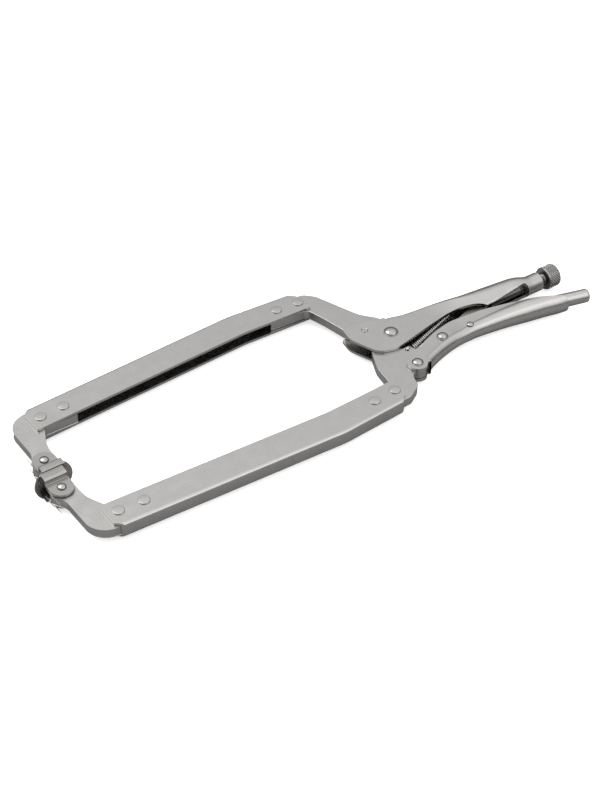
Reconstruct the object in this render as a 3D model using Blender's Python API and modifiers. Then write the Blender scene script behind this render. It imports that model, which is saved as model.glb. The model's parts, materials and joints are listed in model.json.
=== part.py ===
"""Long-reach locking pliers of the C-clamp kind: two pressed channel arms on a toggle-locked handle pair.

The clamp lies on its side. X runs along it from the pads (-X) to the handles (+X), Y points to the fixed
arm, and Z is the thickness. Shapes are drawn about the main pivot, in its XY plane, and the whole clamp is
then set down so that the origin is at the bottom centre of its bounding box.
"""

import math

import bmesh
import bpy
from mathutils import Matrix, Vector

MM = 0.001

# Sheet, plate and clearances
SHEET = 2.0 * MM  # pressed arms and handles
PLATE = 7.4 * MM  # forged jaws
FIT = 0.3 * MM  # between pieces that touch
HOLE_FIT = 0.15 * MM  # around a rivet's shank, on the radius
CHANNEL = PLATE + 2 * FIT + 2 * SHEET  # outer width of arms and cheeks
CHANNEL_BEND = 3.0 * MM

# Pivots of the toggle linkage, from the main pivot
JAW_PIVOT = (-6.2 * MM, -40.3 * MM)  # moving jaw to moving handle
TOGGLE_PIVOT = (28.2 * MM, -26.5 * MM)  # moving handle to link
LINK_END = (82.0 * MM, -8.6 * MM)  # where the link bears on the screw
RELEASE_PIVOT = (54.2 * MM, -27.5 * MM)
SPRING_HOOK = (-1.7 * MM, -21.9 * MM)
SPRING_ANCHOR = (58.0 * MM, -1.0 * MM)
STAKE = (-15.0 * MM, 13.0 * MM)  # rivet that holds the fixed jaw in its handle

# Arms: both sides share these, measured from each arm's far rivet
CENTRE_Y = 7.25 * MM  # the clamp's centre line above the main pivot
MOVING_SHIFT = 3.2 * MM  # the moving arm's far rivet is this much further out
THROAT_HALF = 57.05 * MM  # far rivets to the centre line
ARM_SPREAD = math.radians(1.56)  # each arm's angle to the centre line
RIVET_SPAN = 226.2 * MM  # first to last rivet
RIVET_PITCH = 19.0 * MM  # between the two rivets of a pair
KINK = RIVET_SPAN - 54.2 * MM  # where the arms bend inwards
REACH = RIVET_SPAN + 36.1 * MM  # main pivot to the fixed arm's far rivet, along X
ARM_BACK = 13.9 * MM  # rivet line to web, at the far end
ARM_BACK_KINK = 18.4 * MM
ARM_BACK_NEAR = 13.4 * MM
ARM_OPEN = 10.8 * MM  # rivet line to the open edge, at the far end
ARM_OPEN_KINK = 6.5 * MM
ARM_OPEN_NEAR = 10.2 * MM
TANG_LAP = 5.4 * MM  # jaw plates run this far past the inner rivet

# Rivets
ARM_RIVET = (3.0 * MM, 4.3 * MM, 1.0 * MM)  # shank radius, head radius, head height
MAIN_RIVET = (4.0 * MM, 5.6 * MM, 2.6 * MM)
LINKAGE_RIVET = (3.0 * MM, 4.3 * MM, 2.3 * MM)
RELEASE_RIVET = (2.0 * MM, 2.9 * MM, 1.5 * MM)
PAD_RIVET = (2.4 * MM, 3.5 * MM, 2.0 * MM)
STAKE_RIVET = (2.0 * MM, 2.9 * MM, 0.5 * MM)

# Swivel pads
PAD_PIVOT = (-19.6 * MM, -41.7 * MM)  # from the far rivet: outwards along X, and towards the centre line
PAD_GAP = 0.9 * MM  # between the closed pads
PAD_RADIUS = 13.6 * MM
PAD_SHEET = 1.8 * MM
PAD_TAB = 17.0 * MM  # width of the folded tabs
PAD_BOX = 10.4 * MM  # half width over the tabs
PAD_STEP = 7.3 * MM  # pivot to the step where the tabs narrow
EAR_RADIUS = 8.5 * MM

# Handles and screw
SCREW_Y = -8.6 * MM
SCREW_RADIUS = 4.9 * MM
NECK_RADIUS = 7.5 * MM
NECK_END = 138.5 * MM
SCREW_TIP = 89.5 * MM
KNOB_START = 144.0 * MM
KNOB_LENGTH = 11.5 * MM
KNOB_RADIUS = 9.3 * MM
GRIP_RADIUS = 9.6 * MM  # half width of the fixed handle's round grip
SLOT_HALF = 4.4 * MM  # slot under the grip, for the link
LOWER_GRIP = 9.0 * MM  # half width of the moving handle's rounded grip
LINK_THICKNESS = 6.0 * MM
LINK_HALF = 4.2 * MM
LEVER_THICKNESS = 4.0 * MM
TAIL_RADIUS = 5.5 * MM

# Spring
SPRING_RADIUS = 2.1 * MM  # to the wire's middle
SPRING_WIRE = 0.45 * MM  # wire radius
SPRING_TURNS = 24

ROUND_STEPS = 16  # facets of a turned piece
BIG = 60 * MM  # past any face of the clamp, for cutters


def clear_scene():
    for obj in list(bpy.data.objects):
        bpy.data.objects.remove(obj, do_unlink=True)


def new_collection(name):
    collection = bpy.data.collections.new(name)
    bpy.context.scene.collection.children.link(collection)
    return collection


def steel(name, colour, roughness):
    material = bpy.data.materials.new(name)
    material.use_nodes = True
    shader = material.node_tree.nodes["Principled BSDF"]
    shader.inputs["Base Color"].default_value = (*colour, 1)
    shader.inputs["Metallic"].default_value = 1.0
    shader.inputs["Roughness"].default_value = roughness
    return material


def rounded(corners, steps=6):
    """A closed outline from (x, y, radius) corners, each rounded by an arc that touches both its sides."""
    points = []
    for i, (x, y, radius) in enumerate(corners):
        here = Vector((x, y))
        before = (Vector(corners[i - 1][:2]) - here).normalized()
        after = (Vector(corners[(i + 1) % len(corners)][:2]) - here).normalized()
        half = before.angle(after) / 2
        if radius == 0 or half > math.radians(88):
            points.append((x, y))
            continue
        centre = here + (before + after).normalized() * radius / math.sin(half)
        first = here + before * radius / math.tan(half)
        last = here + after * radius / math.tan(half)
        start = math.atan2(first.y - centre.y, first.x - centre.x)
        turn = math.atan2(last.y - centre.y, last.x - centre.x) - start
        turn = (turn + math.pi) % (2 * math.pi) - math.pi
        for step in range(steps + 1):
            angle = start + turn * step / steps
            points.append((centre.x + radius * math.cos(angle), centre.y + radius * math.sin(angle)))
    return points


def arc(centre, radius, start, end, steps=10):
    """Points from one angle to another, in degrees, as (x, y, 0) corners."""
    angles = [math.radians(start + (end - start) * i / steps) for i in range(steps + 1)]
    return [(centre[0] + radius * math.cos(a), centre[1] + radius * math.sin(a), 0) for a in angles]


def add_object(name, mesh, collection):
    obj = bpy.data.objects.new(name, mesh)
    collection.objects.link(obj)
    return obj


def flat_piece(name, outline, bottom, top, collection):
    """A flat outline, filled and given a thickness from bottom to top."""
    curve = bpy.data.curves.new(name, "CURVE")
    curve.dimensions = "2D"
    curve.fill_mode = "BOTH"
    curve.extrude = (top - bottom) / 2
    spline = curve.splines.new("POLY")
    spline.points.add(len(outline) - 1)
    for point, (x, y) in zip(spline.points, outline):
        point.co = (x, y, 0, 1)
    spline.use_cyclic_u = True
    drawn = add_object(name + "_outline", curve, collection)
    graph = bpy.context.evaluated_depsgraph_get()
    mesh = bpy.data.meshes.new_from_object(drawn.evaluated_get(graph))
    bpy.data.objects.remove(drawn)
    mesh.transform(Matrix.Translation((0, 0, (top + bottom) / 2)))
    form = bmesh.new()
    form.from_mesh(mesh)
    bmesh.ops.remove_doubles(form, verts=form.verts, dist=1e-6)
    bmesh.ops.recalc_face_normals(form, faces=form.faces)
    form.to_mesh(mesh)
    form.free()
    return add_object(name, mesh, collection)


def loft(name, rings, collection):
    """A closed solid through rings of matching (x, y, z) points, with its ends filled."""
    form = bmesh.new()
    loops = [[form.verts.new(point) for point in ring] for ring in rings]
    count = len(rings[0])
    for one, other in zip(loops, loops[1:]):
        for i in range(count):
            j = (i + 1) % count
            form.faces.new((one[i], one[j], other[j], other[i]))
    form.faces.new(loops[0])
    form.faces.new(list(reversed(loops[-1])))
    bmesh.ops.recalc_face_normals(form, faces=form.faces)
    mesh = bpy.data.meshes.new(name)
    form.to_mesh(mesh)
    form.free()
    return add_object(name, mesh, collection)


def section(x, top, bottom, half_top, half_bottom, round_top, round_bottom, steps=5):
    """A ring across a handle at x: two rounded upper corners and two lower ones, as (x, y, z) points."""
    round_top = min(round_top, half_top - 0.05 * MM)
    round_bottom = min(round_bottom, half_bottom - 0.05 * MM)
    high, low = top - round_top, bottom + round_bottom
    wide, narrow = half_top - round_top, half_bottom - round_bottom
    lean = math.atan2(wide - narrow, high - low)
    apart = max(math.hypot(wide - narrow, high - low), 0.1 * MM)
    tilt = math.asin(max(-0.6, min(0.6, (round_bottom - round_top) / apart)))
    if apart < 0.5 * MM:  # one circle, so any angle will do, and this one keeps the ring in step
        lean, tilt = 0, math.asin(-0.6)
    meet = math.pi / 2 - lean - tilt  # the side's direction, where the two arcs are joined
    side = []
    for i in range(steps + 1):
        angle = meet * i / steps
        side.append((high + round_top * math.cos(angle), wide + round_top * math.sin(angle)))
    for i in range(steps + 1):
        angle = meet + (math.pi - meet) * i / steps
        side.append((low + round_bottom * math.cos(angle), narrow + round_bottom * math.sin(angle)))
    return [(x, y, z) for y, z in side] + [(x, y, -z) for y, z in reversed(side)]


def turned(name, profile, axis, collection):
    """A profile of (radius, height) points, from the top of its axis to the bottom, turned about Z or X."""
    mesh = bpy.data.meshes.new(name)
    edges = [(i, i + 1) for i in range(len(profile) - 1)]
    mesh.from_pydata([(radius, 0, height) for radius, height in profile], edges, [])
    obj = add_object(name, mesh, collection)
    screw = obj.modifiers.new("Turn", "SCREW")
    screw.steps = screw.render_steps = ROUND_STEPS
    screw.use_merge_vertices = True
    screw.merge_threshold = 1e-6
    graph = bpy.context.evaluated_depsgraph_get()
    solid = bpy.data.meshes.new_from_object(obj.evaluated_get(graph))
    obj.modifiers.clear()
    obj.data = solid
    if axis == "X":
        solid.transform(Matrix.Rotation(math.pi / 2, 4, "Y"))
    return obj


def cylinder(name, x, y, radius, half, collection):
    """A cutter along Z, with the facets that a turned piece has."""
    obj = turned(name, [(0, half), (radius, half), (radius, -half), (0, -half)], "Z", collection)
    obj.data.transform(Matrix.Translation((x, y, 0)))
    return obj


def box(name, low, high, collection):
    form = bmesh.new()
    bmesh.ops.create_cube(form, size=1)
    size = Vector(high) - Vector(low)
    middle = (Vector(high) + Vector(low)) / 2
    stand = Matrix.Translation(middle) @ Matrix.Diagonal((*size, 1))
    bmesh.ops.transform(form, matrix=stand, verts=form.verts)
    mesh = bpy.data.meshes.new(name)
    form.to_mesh(mesh)
    form.free()
    return add_object(name, mesh, collection)


class Clamp:
    """The parts' collection, the cutters' collection and the empty that everything hangs on."""

    def __init__(self):
        self.parts = new_collection("locking_clamp_pliers")
        self.cutters = new_collection("cutters")
        self.cutters.hide_render = True
        self.frame = bpy.data.objects.new("clamp_frame", None)
        self.parts.objects.link(self.frame)
        self.sheet_steel = steel("nickel_plated_sheet", (0.60, 0.59, 0.57), 0.34)
        self.forged_steel = steel("nickel_plated_forging", (0.58, 0.57, 0.55), 0.38)
        self.bright_steel = steel("bright_rivet", (0.75, 0.74, 0.72), 0.12)
        self.spring_steel = steel("spring_wire", (0.50, 0.49, 0.47), 0.28)
        self.screw_steel = steel("dark_screw", (0.42, 0.41, 0.40), 0.40)

    def finish(self, obj, material, origin):
        """Gives a part its material, its origin on its own axis and its place under the frame."""
        obj.data.materials.clear()
        obj.data.materials.append(material)
        obj.data.transform(Matrix.Translation((-origin[0], -origin[1], 0)))
        obj.location = (origin[0], origin[1], 0)
        obj.data.shade_smooth()
        obj.data.set_sharp_from_angle(angle=math.radians(30))
        obj.parent = self.frame
        return obj

    def cut(self, obj, cutter, operation="DIFFERENCE"):
        cutter.parent = self.frame
        cutter.hide_render = True
        cutter.display_type = "WIRE"
        modifier = obj.modifiers.new(cutter.name, "BOOLEAN")
        modifier.operation = operation
        modifier.object = cutter

    def drill(self, obj, places, radius):
        for i, (x, y) in enumerate(places):
            name = f"{obj.name}_hole_{len(obj.modifiers)}_{i}"
            self.cut(obj, cylinder(name, x, y, radius + HOLE_FIT, BIG, self.cutters))

    def rivet(self, name, place, size, grip):
        """A rivet with a domed head on each side of a stack that is grip wide."""
        shank, head, height = size
        seat = grip / 2 + HOLE_FIT
        dome = [(head * math.sin(a), seat + height * math.cos(a)) for a in (0, 0.5, 0.95, 1.3)]
        half = [(0, seat + height)] + dome[1:] + [(head, seat), (shank, seat)]
        profile = half + [(radius, -high) for radius, high in reversed(half)]
        obj = turned(name, profile, "Z", self.parts)
        obj.data.transform(Matrix.Translation((*place, 0)))
        return self.finish(obj, self.bright_steel, place)


class Side:
    """One arm's frame: u runs from its far rivet towards the handle, and v away from the throat."""

    def __init__(self, name, sign, shift):
        self.name, self.sign = name, sign
        self.far_rivet = (-REACH - shift, THROAT_HALF)

    def flat(self, x, s):
        """A point measured square to the clamp from the far rivet, s away from the throat."""
        return (self.far_rivet[0] + x, CENTRE_Y + self.sign * (self.far_rivet[1] + s))

    def along(self, u, v):
        """A point measured along the arm, which leans away from the centre line."""
        c, s = math.cos(ARM_SPREAD), math.sin(ARM_SPREAD)
        return self.flat(u * c - v * s, u * s + v * c)

    def rivets(self):
        places = [(0, 0), (RIVET_PITCH, 0.7 * MM), (RIVET_SPAN - RIVET_PITCH, 1.9 * MM), (RIVET_SPAN, 0)]
        return [self.along(*place) for place in places]

    def back(self, u):
        """From the rivet line to the web's outer face."""
        if u < KINK:
            return ARM_BACK + (ARM_BACK_KINK - ARM_BACK) * u / KINK
        return ARM_BACK_KINK + (ARM_BACK_NEAR - ARM_BACK_KINK) * (u - KINK) / (RIVET_SPAN - KINK)

    def open_edge(self, u):
        if u < KINK:
            return -ARM_OPEN + (ARM_OPEN - ARM_OPEN_KINK) * u / KINK
        return -ARM_OPEN_KINK + (ARM_OPEN_KINK - ARM_OPEN_NEAR) * (u - KINK) / (RIVET_SPAN - KINK)

    def pad_pivot(self):
        return self.flat(*PAD_PIVOT)


def channel_ring(side, u, lap):
    """A cross-section of the arm's pressed channel, which is open towards the throat."""
    half, inner = CHANNEL / 2, CHANNEL / 2 - SHEET
    back, edge = side.back(u), side.open_edge(u) - lap
    bends = [(back, half, CHANNEL_BEND), (back, -half, CHANNEL_BEND)]
    outside = rounded([(edge, half, 0), *bends, (edge, -half, 0)], 4)
    bend = CHANNEL_BEND - SHEET
    deep = back - SHEET
    inside = rounded([(edge, -inner, 0), (deep, -inner, bend), (deep, inner, bend), (edge, inner, 0)], 4)
    return [(*side.along(u, v), z) for v, z in outside + inside]


def make_arm(clamp, side):
    """A U-channel pressed from sheet, with a kink near the handle, trimmed square at the far end."""
    stations = (-12 * MM, KINK - 7 * MM, KINK + 7 * MM, RIVET_SPAN + 20 * MM)
    arm = loft(f"{side.name}_arm", [channel_ring(side, u, 6 * MM) for u in stations], clamp.parts)
    far, near = -8.2 * MM, RIVET_SPAN
    corners = [
        (far, side.open_edge(far), 0),
        (far, side.back(far) - 5 * MM, 0),
        (far + 6 * MM, side.back(far) + FIT, 0),
        (far + 6 * MM, BIG, 0),
        (near - 2.5 * MM, BIG, 0),
        (near - 2.5 * MM, side.back(near) + FIT, 2 * MM),
        (near + 4.2 * MM, side.back(near) - 6.5 * MM, 2 * MM),
        (near + 5 * MM, side.open_edge(near), 1 * MM),
        (KINK, side.open_edge(KINK), 60 * MM),
    ]
    outline = rounded([(*side.along(u, v), radius) for u, v, radius in corners])
    trim = flat_piece(f"{arm.name}_trim", outline, -BIG, BIG, clamp.cutters)
    clamp.cut(arm, trim, "INTERSECT")
    clamp.drill(arm, side.rivets(), ARM_RIVET[0])
    return arm


def make_far_jaw(clamp, side):
    """The hook at an arm's far end: a tang in the channel, a round shoulder and an eye for the pad."""
    tang_end = RIVET_PITCH + TANG_LAP
    tang_top = ARM_BACK - SHEET - FIT - 0.4 * MM
    tang_low = -ARM_OPEN + 1.1 * MM
    eye_x, eye_y = PAD_PIVOT
    eye = 8.6 * MM
    corners = [
        (tang_end, tang_low, 0.5 * MM),
        (tang_end, tang_top + 0.3 * MM, 0.5 * MM),
        (-22.3 * MM, tang_top, 16 * MM),
        (-22.6 * MM, -30 * MM, 14 * MM),
        (eye_x - eye, eye_y + 2 * MM, 8 * MM),
        (eye_x - eye, eye_y - eye, eye),
        (eye_x + eye, eye_y - eye, eye),
        (-10.6 * MM, -27 * MM, 30 * MM),
        (-2.6 * MM, tang_low, 5 * MM),
    ]
    outline = rounded([(*side.flat(x, s), radius) for x, s, radius in corners])
    jaw = flat_piece(f"{side.name}_far_jaw", outline, -PLATE / 2, PLATE / 2, clamp.parts)
    clamp.drill(jaw, side.rivets()[:2], ARM_RIVET[0])
    clamp.drill(jaw, [side.pad_pivot()], PAD_RIVET[0])
    return jaw


def make_pad(clamp, side):
    """A pad stamped from one sheet: a disc whose two tabs fold back, step in and end as round ears."""
    x, y = side.pad_pivot()
    towards = -side.sign
    face = abs(y - CENTRE_Y) - PAD_GAP / 2
    sunk = 0.1 * MM  # keeps the tabs' faces off the disc's
    ear, wall = CHANNEL / 2, PAD_BOX
    outer = [(face - sunk, wall), (PAD_STEP, wall), (PAD_STEP, ear), (-EAR_RADIUS - MM, ear)]
    inner = [(-EAR_RADIUS - MM, ear - PAD_SHEET), (PAD_STEP + PAD_SHEET, ear - PAD_SHEET)]
    inner += [(PAD_STEP + PAD_SHEET, wall - PAD_SHEET), (face - PAD_SHEET + sunk, wall - PAD_SHEET)]
    half = outer + inner
    bracket_section = half + [(d, -z) for d, z in reversed(half)]
    half_tab = PAD_TAB / 2
    rings = [[(x + end, y + towards * d, z) for d, z in bracket_section] for end in (-half_tab, half_tab)]
    pad = loft(f"{side.name}_pad", rings, clamp.parts)
    ears = arc((0, 0), EAR_RADIUS, 180, 360, 16)
    ears += [(PAD_TAB / 2, face + MM, 0), (-PAD_TAB / 2, face + MM, 0)]
    outline = [(x + px, y + towards * py) for px, py, _ in ears]
    trim = flat_piece(f"{pad.name}_ears", outline, -BIG, BIG, clamp.cutters)
    clamp.cut(pad, trim, "INTERSECT")
    rim, back = 0.4 * MM, face - PAD_SHEET
    profile = [(0, face), (PAD_RADIUS - rim, face), (PAD_RADIUS, face - rim), (PAD_RADIUS, back), (0, back)]
    disc = turned(f"{pad.name}_disc", profile, "Z", clamp.cutters)
    disc.data.transform(Matrix.Translation((x, y, 0)) @ Matrix.Rotation(-towards * math.pi / 2, 4, "X"))
    flat = wall - sunk
    flats = box(f"{disc.name}_flats", (x - BIG, y - BIG, -flat), (x + BIG, y + BIG, flat), clamp.cutters)
    clamp.cut(disc, flats, "INTERSECT")
    clamp.cut(pad, disc, "UNION")
    clamp.drill(pad, [(x, y)], PAD_RIVET[0])
    return pad


def in_mm(corners):
    return [(x * MM, y * MM, radius * MM) for x, y, radius in corners]


def make_fixed_jaw(clamp):
    """The forged plate from the fixed arm down into the handle's nose, hollowed round the main pivot."""
    around = arc((0, 0), 10.5, 62, 145)
    corners = [(-66, 63, 1), (-66, 83, 1), (-40, 81, 20), (-25.5, 79, 6), (-18.4, 71.5, 8), (-5, 34, 25)]
    corners += [(4.7, 22, 2), (4.7, 12, 1)] + around
    corners += [(-14, 8, 2), (-20.5, 12.5, 3), (-25.8, 22.5, 2), (-29.9, 44.2, 40), (-34.2, 60.6, 5)]
    jaw = flat_piece("fixed_jaw", rounded(in_mm(corners)), -PLATE / 2, PLATE / 2, clamp.parts)
    clamp.drill(jaw, [STAKE], STAKE_RIVET[0])
    return jaw


def make_moving_jaw(clamp):
    """The plate that swings about the main pivot: a tang for its arm, a boss for the handle, a nose."""
    boss_x, boss_y = JAW_PIVOT[0] / MM, JAW_PIVOT[1] / MM
    corners = arc((0, 0), 9.5, -62, 140, 14)
    corners += [(-16.5, 0.5, 4), (-25.2, -9.5, 14), (-33, -26, 30), (-36, -46.8, 4), (-68, -48.2, 1)]
    corners += [(-68, -67.9, 1), (-32, -66.2, 6), (-19.6, -59, 12), (-16.8, -48.6, 8)]
    corners += arc((boss_x, boss_y), 7.0, 225, 380, 10)
    corners += [(-1.2, -32.5, 5), (3.8, -24, 4), (3, -18.4, 2), (-5.2, -18.8, 1.5), (-4.2, -12, 2)]
    jaw = flat_piece("moving_jaw", rounded(in_mm(corners)), -PLATE / 2, PLATE / 2, clamp.parts)
    clamp.drill(jaw, [(0, 0)], MAIN_RIVET[0])
    clamp.drill(jaw, [JAW_PIVOT], LINKAGE_RIVET[0])
    clamp.drill(jaw, [SPRING_HOOK], 2.5 * SPRING_WIRE)
    return jaw


def pressed(name, stations, clamp):
    """A sheet pressing: a loft with the same loft, one sheet smaller, taken out of it."""
    rings, hollow = [], []
    least, lip = 0.3 * MM, 1.2 * MM
    for i, values in enumerate(stations):
        station = [v * MM for v in values]
        rings.append(section(*station))
        x = station[0] - (lip if i in (1, 2) else 0)  # the web's front edge
        smaller = [x, station[1] - SHEET, station[2] + SHEET, station[3] - SHEET, station[4] - SHEET]
        smaller += [max(station[5] - SHEET, least), max(station[6] - SHEET, least)]
        hollow.append(section(*smaller))
    first, last = hollow[0], hollow[-1]
    hollow[0] = [(x - MM, y, z) for x, y, z in first]
    hollow[-1] = [(x + MM, y, z) for x, y, z in last]
    piece = loft(name, rings, clamp.parts)
    clamp.cut(piece, loft(f"{name}_hollow", hollow, clamp.cutters))
    return piece


def make_fixed_handle(clamp):
    """The upper handle: open cheeks round the main pivot, then a rounded grip and a neck for the screw."""
    neck, circle = SCREW_Y / MM, NECK_RADIUS / MM
    grip, low = GRIP_RADIUS / MM, 7.8
    half, web = CHANNEL / 2 / MM, 6.4
    stations = [
        (-33, 30, -26, half, half, 0.5, 0.5),
        (web - 0.1, 30, -26, half, half, 0.5, 0.5),
        (web, 17.2, -26, half, half, 3, 0.5),
        (10, 16.7, -26, half, half, 3, 0.5),
        (20, 13.8, -26, half, half, 3, 0.5),
        (30, 12.6, -25, half, half, 3, 0.5),
        (45, 11.3, -24, half + 0.3, half, 3.5, 1),
        (58, 9.8, -21, 7.4, 6.4, 5.5, 3),
        (70, 7.9, -17.5, 9.0, 7.4, 8.5, 6),
        (80, 6.9, neck - low, grip, low, grip, low),
        (100, 4.9, neck - low, grip + 0.2, low, grip + 0.2, low),
        (115, 3.4, neck - low, grip, low, grip, low),
        (121, 2.0, neck - low, 9.0, low, 9.0, low),
        (127, -0.6, neck - circle, 7.8, circle, 7.8, circle),
        (131, neck + circle, neck - circle - 0.01, circle, circle, circle, circle),
        (NECK_END / MM, neck + circle, neck - circle - 0.01, circle, circle, circle, circle),
    ]
    handle = pressed("fixed_handle", stations, clamp)
    corners = [(-28.6, 23.2, 2), (-10, 21.2, 40), (web + 0.05, 17.0, 0), (web + 0.1, 29, 0)]
    corners += [(145, 29, 0), (145, -29, 0), (123.4, -29, 0), (123.4, -11.6, 3), (100, -13.6, 30)]
    corners += [(83, -15.0, 6), (72, -10.2, 14), (60, -7.0, 20), (48, -6.8, 30), (29.2, -10.2, 60)]
    corners += [(6.3, -15.1, 40)]
    corners += [(-8.5, -18.3, 12), (-22, -14, 12), (-30.6, 10, 14)]
    slot_start, slot_end = (66 * MM, -20 * MM, -SLOT_HALF), (119.5 * MM, -10 * MM, SLOT_HALF)
    slot = box("fixed_handle_slot", slot_start, slot_end, clamp.cutters)
    clamp.cut(handle, slot)
    trim = flat_piece("fixed_handle_side", rounded(in_mm(corners)), -BIG, BIG, clamp.cutters)
    clamp.cut(handle, trim, "INTERSECT")
    tab_x, tab_y = SPRING_ANCHOR
    low_corner = (tab_x - 0.7 * MM, tab_y - 2.2 * MM, -2.6 * MM)
    tab = box("spring_tab", low_corner, (tab_x + 0.7 * MM, 9 * MM, 2.6 * MM), clamp.cutters)
    clamp.cut(handle, tab, "UNION")
    clamp.drill(handle, [(0, 0)], MAIN_RIVET[0])
    clamp.drill(handle, [STAKE], STAKE_RIVET[0])
    return handle


def make_moving_handle(clamp):
    """The lower handle: two ears on the jaw's boss and a channel that is open towards the other handle."""
    half, grip, web = CHANNEL / 2 / MM, LOWER_GRIP / MM, 3.2
    floor = [(web, -45.2), (9, -42.6), (17, -39.7), (27, -36.9), (37, -34.9), (47, -34.1), (57, -34.0)]
    floor += [(67, -35), (78, -36.3), (88, -37.8), (98, -39.7), (108, -41.6), (119, -43.6), (129, -46)]
    floor += [(141, -47.8)]
    stations = [(-20, 0, -62, half, half, 0.5, 0.5), (web - 0.1, 0, -62, half, half, 0.5, 0.5)]
    for x, y in floor:
        wide = half + (grip - half) * min(1, max(0, (x - 47) / 61))
        stations.append((x, 0, y, wide, wide, 0.5, min(5.3 + (wide - half) * 1.2, wide)))
    handle = pressed("moving_handle", stations, clamp)
    ear_x, ear_y = JAW_PIVOT[0] / MM, JAW_PIVOT[1] / MM
    corners = arc((ear_x, ear_y), 8, 95, 295, 14)
    corners += [(0.4, -44.0, 1.5), (web + 0.05, -45.0, 0), (web + 0.1, -60, 0), (131, -60, 0)]
    corners += [(137.5, -46, 3), (134, -41.4, 3)]
    corners += [(118, -33.4, 60), (98, -25.5, 60), (75, -19.2, 60), (60, -17.0, 30), (44, -15.0, 30)]
    corners += [(27, -18.6, 30), (13.4, -23.4, 3), (8.4, -26.4, 4), (-2, -27.2, 3)]
    trim = flat_piece("moving_handle_side", rounded(in_mm(corners)), -BIG, BIG, clamp.cutters)
    clamp.cut(handle, trim, "INTERSECT")
    clamp.drill(handle, [JAW_PIVOT, TOGGLE_PIVOT], LINKAGE_RIVET[0])
    clamp.drill(handle, [RELEASE_PIVOT], RELEASE_RIVET[0])
    return handle


def make_toggle_link(clamp):
    """The link that locks just past its dead centre, from the moving handle to the screw's tip."""
    lean = math.degrees(math.atan2(LINK_END[1] - TOGGLE_PIVOT[1], LINK_END[0] - TOGGLE_PIVOT[0]))
    outline = arc(TOGGLE_PIVOT, LINK_HALF + 0.6 * MM, lean + 90, lean + 270, 12)
    outline += arc(LINK_END, LINK_HALF, lean - 90, lean + 90, 12)
    points = [(x, y) for x, y, _ in outline]
    link = flat_piece("toggle_link", points, -LINK_THICKNESS / 2, LINK_THICKNESS / 2, clamp.parts)
    clamp.drill(link, [TOGGLE_PIVOT], LINKAGE_RIVET[0])
    return link


def make_release_lever(clamp):
    """A flat lever on the floor of the moving handle, with a round tail that comes out of its end."""
    corners = [(47.4, -26.2, 1.2), (47.4, -29.6, 1.2), (56, -31.2, 3), (72, -32.0, 20), (110, -37.6, 20)]
    corners += [(124, -40.6, 2), (124, -31, 2), (110, -29.6, 10), (72, -25.4, 20), (58, -23.8, 4)]
    half = LEVER_THICKNESS / 2
    lever = flat_piece("release_lever", rounded(in_mm(corners)), -half, half, clamp.parts)
    radius, length = TAIL_RADIUS, 40.5 * MM
    profile = [(0, length), (radius - 2.4 * MM, length), (radius - 0.7 * MM, length - 0.8 * MM)]
    profile += [(radius, length - 2.6 * MM), (radius, 1.5 * MM), (radius - 1.5 * MM, 0), (0, 0)]
    tail = turned("release_tail", profile, "X", clamp.cutters)
    place = Matrix.Translation((119.6 * MM, -34.3 * MM, 0)) @ Matrix.Rotation(math.radians(-15.0), 4, "Z")
    tail.data.transform(place)
    clamp.cut(lever, tail, "UNION")
    clamp.drill(lever, [RELEASE_PIVOT], RELEASE_RIVET[0])
    return lever


def make_screw(clamp):
    """The adjusting screw's shank, blunt at the tip that meets the link."""
    start, end = SCREW_TIP, KNOB_START + KNOB_LENGTH - 5.5 * MM
    radius, chamfer = SCREW_RADIUS, 1.2 * MM
    profile = [(0, end), (radius, end), (radius, start + chamfer), (radius - chamfer, start), (0, start)]
    screw = turned("adjusting_screw", profile, "X", clamp.parts)
    screw.data.transform(Matrix.Translation((0, SCREW_Y, 0)))
    return screw


def make_knob(clamp):
    """The knob, bored to take the screw's end, with a rounded rim and a ring sunk in its face."""
    start, end = KNOB_START, KNOB_START + KNOB_LENGTH
    bore = SCREW_RADIUS + FIT
    outer = [(0, end), (2.6, end), (3.2, end - 1.2 * MM), (6.0, end - 1.2 * MM), (6.6, end)]
    profile = [(r * MM, x) for r, x in outer]
    profile += [(KNOB_RADIUS - 1 * MM, end), (KNOB_RADIUS, end - 1 * MM), (KNOB_RADIUS, start + 1 * MM)]
    profile += [(KNOB_RADIUS - 1 * MM, start), (bore, start), (bore, end - 5.2 * MM), (0, end - 5.2 * MM)]
    knob = turned("screw_knob", profile, "X", clamp.parts)
    knob.data.transform(Matrix.Translation((0, SCREW_Y, 0)))
    return knob


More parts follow.
